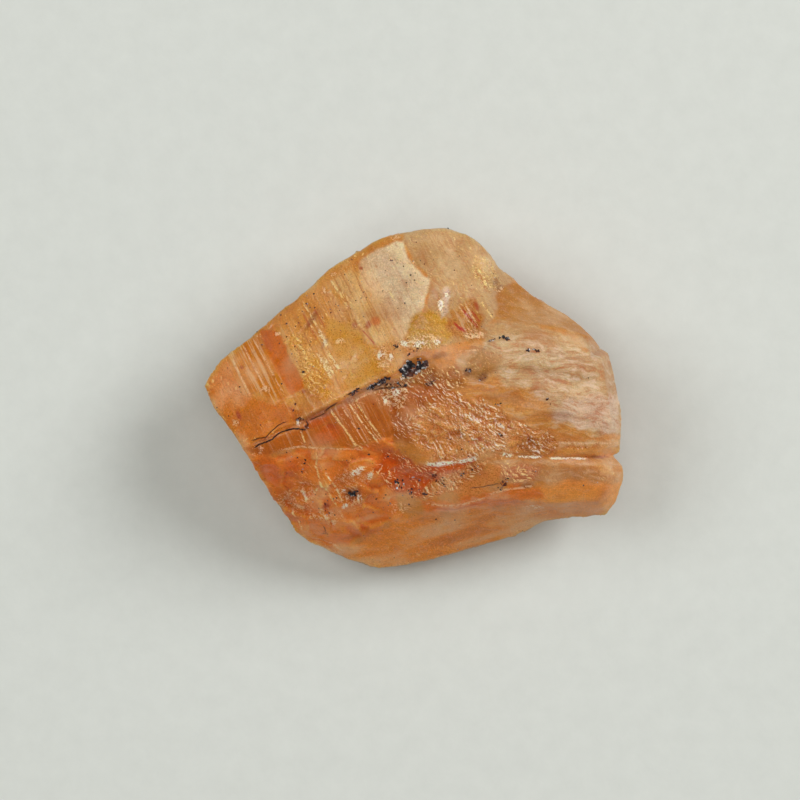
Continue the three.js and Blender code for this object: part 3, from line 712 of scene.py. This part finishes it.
def grainPlaces(spin):        # plan place and half size of each grain, in mm
    pixel = 1 / picture["pixelsPerMm"]
    for px, py, long, wide, turn, count, small, large in grains["groups"]:
        c, s = math.cos(math.radians(turn)), math.sin(math.radians(turn))
        for _ in range(count):
            reach = math.sqrt(spin.uniform(0, 1))
            angle = spin.uniform(0, 2 * math.pi)
            u, v = reach * long * math.cos(angle), reach * wide * math.sin(angle)
            x, y = at(px, py) + pixel * np.array([u * c - v * s, u * s + v * c])
            yield x, y, grains["groupScale"] * spin.uniform(small, large) * pixel / 2
    for px, py, size in grains["single"]:
        yield *at(px, py), grains["singleScale"] * size * pixel / 2
    chance = np.where(normals[:, 2] > 0.45, 0.2 + paint["mottled"] + 0.6 * paint["clear"], 0)
    likely = np.flatnonzero(chance > spin.uniform(0.3, 1.2, len(up)))
    for index in spin.choice(likely, grains["dust"], replace=False):
        yield points[index, 0], points[index, 1], spin.uniform(*grains["dustSize"]) * pixel / 2


def grainMesh():
    spin = np.random.default_rng(grains["seed"])
    surface = BVHTree.FromPolygons(points.tolist(), faces.tolist())
    allCorners, allSides, start = [], [], 0
    for x, y, size in grainPlaces(spin):
        place, normal, _, _ = surface.ray_cast(Vector((x, y, grains["castFrom"])), Vector((0, 0, -1)))
        if place is None or place.z < grains["lowest"]:
            continue
        corners, sides = grainShape(spin, size)
        allCorners.append(corners + np.array(place) + np.array(normal) * size * (0.5 - grains["sink"]))
        allSides.append(sides + start)
        start += len(corners)
    print("mineral grains:", len(allSides))
    return np.vstack(allCorners), np.vstack(allSides)


minerals = meshObject("mineralGrains", *grainMesh())
minerals.data.shade_flat()
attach(minerals, "root")


# Shaders

class Wire:
    # A socket that sums and products can be written on

    def __init__(self, tree, socket):
        self.tree = tree
        self.socket = socket

    def math(self, operation, *values):
        node = self.tree.nodes.new("ShaderNodeMath")
        node.operation = operation
        for slot, value in zip(node.inputs, values):
            if isinstance(value, Wire):
                self.tree.links.new(value.socket, slot)
            else:
                slot.default_value = value
        return Wire(self.tree, node.outputs[0])

    def __add__(self, other):
        return self.math("ADD", self, other)

    def __radd__(self, other):
        return self.math("ADD", other, self)

    def __sub__(self, other):
        return self.math("SUBTRACT", self, other)

    def __rsub__(self, other):
        return self.math("SUBTRACT", other, self)

    def __mul__(self, other):
        return self.math("MULTIPLY", self, other)

    def __rmul__(self, other):
        return self.math("MULTIPLY", other, self)

    def __truediv__(self, other):
        return self.math("DIVIDE", self, other)

    def __abs__(self):
        return self.math("ABSOLUTE", self)

    def above(self, low, high):        # 0 up to low, 1 from high on
        return self.math("MAXIMUM", 0.0, self.math("MINIMUM", 1.0, (self - low) / (high - low)))


class Finish:
    # A material and its nodes

    def __init__(self, name):
        self.material = bpy.data.materials.new(name)
        self.material.use_nodes = True
        self.tree = self.material.node_tree
        self.tree.nodes.clear()

    def node(self, kind, settings=None, sockets=None, out=0):
        node = self.tree.nodes.new("ShaderNode" + kind)
        for key, value in (settings or {}).items():
            setattr(node, key, value)
        for key, value in (sockets or {}).items():
            if isinstance(value, Wire):
                self.tree.links.new(value.socket, node.inputs[key])
            else:
                node.inputs[key].default_value = value
        return Wire(self.tree, node.outputs[out])

    def attribute(self, name, out="Fac"):
        return self.node("Attribute", {"attribute_name": name}, out=out)

    def vector(self, operation, a, b, out="Vector"):
        return self.node("VectorMath", {"operation": operation}, {0: a, 1: b}, out)

    def scaled(self, value, factor):        # a vector or a colour times a number
        return self.node("VectorMath", {"operation": "SCALE"}, {"Vector": value, "Scale": factor}, "Vector")

    def blend(self, share, a, b):
        return self.node("Mix", {"data_type": "RGBA"}, {0: share, 6: a, 7: b}, 2)

    def noise(self, place, scale, detail=2.0, roughness=0.5):
        return self.node("TexNoise", None,
                         {"Vector": place, "Scale": scale, "Detail": detail, "Roughness": roughness}) - 0.5

    def lying(self, place, angle, stretch):        # places drawn out along a direction in plan
        c, s = math.cos(math.radians(angle)), math.sin(math.radians(angle))
        along = self.vector("DOT_PRODUCT", place, (c / stretch, s / stretch, 0), "Value")
        across = self.vector("DOT_PRODUCT", place, (-s, c, 0), "Value")
        high = self.vector("DOT_PRODUCT", place, (0, 0, 1 / stretch), "Value")
        return self.node("CombineXYZ", None, {"X": along, "Y": across, "Z": high})

    def finished(self, surface, volume=None):
        output = self.tree.nodes.new("ShaderNodeOutputMaterial")
        self.tree.links.new(surface.socket, output.inputs["Surface"])
        if volume:
            self.tree.links.new(volume.socket, output.inputs["Volume"])
        return self.material


topaz = {
    "ior": 1.62,
    "inside": colour(255, 203, 60), "density": 70.0,        # what the clear stone lets through, per metre
    "cloudDepth": (0.0016, 0.0011, 0.0006), "cloudy": 0.85, "seeThrough": 0.15, "gloss": 0.16,
    "clearest": 0.5, "gemGloss": 0.2,
    "pale": colour(246, 214, 170), "white": colour(255, 243, 222), "gold": colour(255, 228, 158),
    "frost": colour(240, 212, 186), "deep": colour(186, 96, 38), "red": colour(190, 44, 40),
    "black": colour(34, 24, 22),
    # How much of each tint shows. The glint is a painted highlight, and the deep tint on broken scales
    # turned from the light is painted shade.
    "veilPale": 0.42, "veilDeep": 0.4, "stripePale": 0.5, "bandFrost": 0.6, "bandDeep": 0.6,
    "scaleDeep": 0.35, "glint": 0.68, "turnedAwayShade": 0.6, "lineRed": 0.85,
    # Noise: lumps to a mm, how far it is drawn out, and how high it stands in mm
    "grain": 12.0, "grainHigh": 0.003,
    "striae": 6.5, "striaeLong": 24.0, "striaeHigh": 0.05,
    "bands": 4.2, "bandsLong": 4.0, "bandsHigh": 0.08,
    "scales": 7.5, "scalesLong": 2.0, "scalesHigh": 0.11,
    "flakesHigh": 0.03, "linesHigh": 0.015, "cracksDeep": 0.04,
    "toLight": (0.045, 0.03, 0.045),        # a short step towards the brightest light, in mm
}


def topazFinish():
    m = Finish("orangeTopaz")
    place = m.scaled(m.node("TexCoord", out="Object"), 1 / mm)
    clear, rough, frost, sugar, mottled = (
        m.attribute(kind) for kind in ("clear", "rough", "frost", "sugar", "mottled"))
    striped, chipped, chipsAndGlints, veil, gather = (
        m.attribute(kind) for kind in ("striped", "chipped", "chipsAndGlints", "veil", "gather"))
    grain = m.noise(place, topaz["grain"], 2.0, 0.7)
    tone = m.scaled(m.attribute("tone", "Color"), 1.0 + 0.12 * veil + grain)
    tone = m.blend(topaz["veilPale"] * veil.above(0.0, 0.9), tone, topaz["pale"])
    tone = m.blend(topaz["veilDeep"] * (0 - veil).above(0.05, 0.9), tone, topaz["deep"])
    height = topaz["grainHigh"] * grain
    bent = m.vector("ADD", place, m.node("CombineXYZ", None, {"X": 0.3 * gather, "Y": 0.3 * veil}))

    # Growth lines
    striae = m.noise(m.lying(place, crystal["axis"], topaz["striaeLong"]), topaz["striae"], 4.0, 0.7)
    tone = m.blend(topaz["stripePale"] * striped * striae.above(0.03, 0.12), tone, topaz["pale"])
    tone = m.blend((0.5 * striped + 0.08) * (0 - striae).above(0.04, 0.14), tone, topaz["deep"])
    height = height + topaz["striaeHigh"] * striae * (striped + 0.12)

    # Frosted bands
    bands = m.noise(m.lying(bent, crystal["flowLie"], topaz["bandsLong"]), topaz["bands"], 5.0, 0.75)
    tone = m.blend(topaz["bandFrost"] * frost * bands.above(0.0, 0.12), tone, topaz["frost"])
    tone = m.blend(topaz["bandDeep"] * frost * (0 - bands).above(0.02, 0.12), tone, topaz["deep"])
    height = height + topaz["bandsHigh"] * (frost + 0.1) * bands

    # Small scales and flakes: painted highlights where they face the light, painted shade where they turn
    # away
    scales, shifted = (
        m.noise(m.lying(where, crystal["sugarLie"], topaz["scalesLong"]), topaz["scales"], 3.0, 0.62)
        for where in (bent, m.vector("ADD", bent, topaz["toLight"])))
    lit = scales - shifted
    gathered = 0.8 + 0.7 * gather
    broken = m.node("Clamp", None, {"Value": (sugar + 0.8 * mottled + 0.16 * chipped) * gathered - 0.06})
    tone = m.blend(topaz["scaleDeep"] * (0 - scales).above(0.05, 0.2), tone, topaz["deep"])
    glint = (lit * (0.25 + broken)).above(0.06, 0.13)
    tone = m.blend(topaz["glint"] * glint, tone, m.blend(sugar, topaz["gold"], topaz["white"]))
    tone = m.blend(topaz["turnedAwayShade"] * broken * (0 - lit).above(0.03, 0.1), tone, topaz["deep"])
    height = height + topaz["scalesHigh"] * broken * scales

    # Flakes lifted off the surface: pale flakes of the stone, and pale and white ones that are painted
    # glints and highlights
    flakes = (chipsAndGlints + 3.4 * scales + 3.0 * grain).above(0.6, 0.85) * chipsAndGlints.above(0.02, 0.2)
    flakeAndGlintTone = m.blend(chipsAndGlints.above(0.66, 0.85), topaz["pale"], topaz["white"])
    tone = m.blend(flakes * (0.25 + 0.7 * chipsAndGlints), tone, flakeAndGlintTone)
    height = height + topaz["flakesHigh"] * flakes

    # Fine lines: pale growth lines, gold and white ones that are painted glints and highlights, red veins,
    # painted shade in the groove, and dark cracks
    def drawn(name, ragged):
        away = abs(m.attribute(name + "Side") + ragged * scales)
        return m.attribute(name + "Line") * (1 - away.above(0.6, 1.25))

    pale, crack, red = drawn("pale", 3.6), drawn("crack", 3.0), drawn("red", 2.5)
    strength = m.attribute("paleLine")
    pale = pale * (0.45 + 3.0 * grain + 4.0 * scales + 0.25 * strength.above(0.8, 0.98)).above(0.1, 0.6)
    tone = m.blend(topaz["lineRed"] * red, tone, topaz["red"])
    # The strongest pale lines turn gold, then white: painted glints and highlights
    highlightTone = m.blend(strength.above(0.75, 0.95), topaz["gold"], topaz["white"])
    tone = m.blend(pale, tone, m.blend(strength.above(0.6, 0.7), topaz["pale"], highlightTone))
    tone = m.blend(crack, tone, topaz["black"])
    height = height + topaz["linesHigh"] * pale - topaz["cracksDeep"] * crack

    surfaceRough = rough + 0.4 * grain + 0.2 * pale
    normal = m.node("Bump", None, {"Strength": 1.0, "Distance": mm, "Height": height})
    cloudy = m.node("BsdfPrincipled", None, {
        "Base Color": tone, "Roughness": surfaceRough, "IOR": topaz["ior"], "Normal": normal,
        "Transmission Weight": topaz["seeThrough"], "Specular IOR Level": topaz["gloss"],
        "Subsurface Weight": topaz["cloudy"], "Subsurface Radius": topaz["cloudDepth"],
        "Subsurface Scale": 1.0})
    gem = m.node("BsdfPrincipled", None, {
        "Base Color": m.blend(0.15, tone, (1, 1, 1, 1)), "Roughness": 0.5 * surfaceRough,
        "IOR": topaz["ior"], "Normal": normal,
        "Transmission Weight": 1.0, "Specular IOR Level": topaz["gemGloss"]})
    clearShare = topaz["clearest"] * clear * (1 - pale) * (1 - crack) * (1 - glint) * (1 - flakes)
    surface = m.node("MixShader", None, {0: clearShare, 1: cloudy, 2: gem})
    inside = m.node("VolumeAbsorption", None, {"Color": topaz["inside"], "Density": topaz["density"]})
    return m.finished(surface, inside)


# Light is the colour of painted glints on bright flakes of the grains
mineral = {"dark": colour(26, 24, 27), "brown": colour(96, 44, 20), "light": colour(206, 202, 200),
           "roughness": 0.35, "metallic": 0.2}


def mineralFinish():
    m = Finish("darkMineral")
    place = m.scaled(m.node("TexCoord", out="Object"), 1 / mm)
    flakes = m.noise(place, 5.0, 2.0)
    tone = m.blend(m.noise(place, 0.7, 1.0).above(-0.14, 0.04), mineral["brown"], mineral["dark"])
    # Painted glints on bright flakes of the grains
    tone = m.blend(0.8 * flakes.above(0.06, 0.13), tone, mineral["light"])
    height = 0.02 * m.noise(place, 9.0, 2.0)
    normal = m.node("Bump", None, {"Strength": 1.0, "Distance": mm, "Height": height})
    return m.finished(m.node("BsdfPrincipled", None, {
        "Base Color": tone, "Roughness": mineral["roughness"], "Metallic": mineral["metallic"],
        "Normal": normal}))


stone.data.materials.append(topazFinish())
minerals.data.materials.append(mineralFinish())
print("materials made")


# Paper, lights and camera

# Half the paper's side in metres, how far it lies under the stone and the size of its fibre in mm
paper = {"half": 0.6, "below": 0.03, "fibre": 1.2, "rough": 0.9, "tone": colour(203, 205, 199)}


def paperFinish():
    m = Finish("palePaper")
    place = m.scaled(m.node("TexCoord", out="Object"), 1 / mm)
    fibre = m.noise(place, 1 / paper["fibre"], 5.0, 0.65)
    normal = m.node("Bump", None, {"Strength": 0.5, "Distance": mm, "Height": 0.02 * fibre})
    tone = m.scaled(paper["tone"][:3], 1.0 + 0.12 * fibre)
    return m.finished(m.node("BsdfPrincipled", None, {
        "Base Color": tone, "Roughness": paper["rough"], "Normal": normal}))


half, low = paper["half"], -paper["below"] * mm
sheet = bpy.data.meshes.new("paper")
sheet.from_pydata([(-half, -half, low), (half, -half, low), (half, half, low), (-half, half, low)], [],
                  [(0, 1, 2, 3)])
floor = bpy.data.objects.new("paper", sheet)
bpy.context.collection.objects.link(floor)
floor.data.materials.append(paperFinish())

lights = {        # where from and how wide, in mm; power in watts
    "eastWindow": {"from": (310, 165, 300), "size": 270, "power": 1.62, "tone": (0.97, 0.985, 1.0)},
    "westWindow": {"from": (-240, 100, 340), "size": 260, "power": 0.74, "tone": (0.93, 0.97, 1.0)},
    "overhead": {"from": (10, -30, 475), "size": 240, "power": 0.53, "tone": (0.95, 0.985, 1.0)},
}
surroundings = {"tone": (1.0, 0.9, 0.7, 1), "strength": 0.155}
world = bpy.data.worlds.new("studio")
world.use_nodes = True
background = world.node_tree.nodes["Background"]
background.inputs["Color"].default_value = surroundings["tone"]
background.inputs["Strength"].default_value = surroundings["strength"]
bpy.context.scene.world = world
for name, light in lights.items():
    lamp = bpy.data.lights.new(name, "AREA")
    lamp.shape = "DISK"
    lamp.size = light["size"] * mm
    lamp.energy = light["power"]
    lamp.color = light["tone"]
    lampObject = bpy.data.objects.new(name, lamp)
    lampObject.location = Vector(light["from"]) * mm
    lampObject.rotation_euler = (-lampObject.location).to_track_quat("-Z", "Y").to_euler()
    lampObject.visible_glossy = name != "overhead"        # its mirror image would lie on every level face
    bpy.context.collection.objects.link(lampObject)

# Lens and sensor in mm, the height in mm at which the picture's scale holds, and what is in reach in metres
camera = {"lens": 400, "sensor": 36, "focusHeight": 5.5, "near": 0.01, "far": 10}
lens = bpy.data.cameras.new("camera")
lens.lens = camera["lens"]
lens.sensor_width = camera["sensor"]
lens.clip_start = camera["near"]
lens.clip_end = camera["far"]
field = picture["side"] / picture["pixelsPerMm"]
distance = field * camera["lens"] / camera["sensor"]
middle = at(picture["middle"], picture["middle"])
eye = bpy.data.objects.new("camera", lens)
eye.location = Vector((middle[0], middle[1], camera["focusHeight"] + distance)) * mm
bpy.context.collection.objects.link(eye)
bpy.context.scene.camera = eye
bpy.context.scene.view_settings.view_transform = "Standard"
print("paper, lights and camera made")
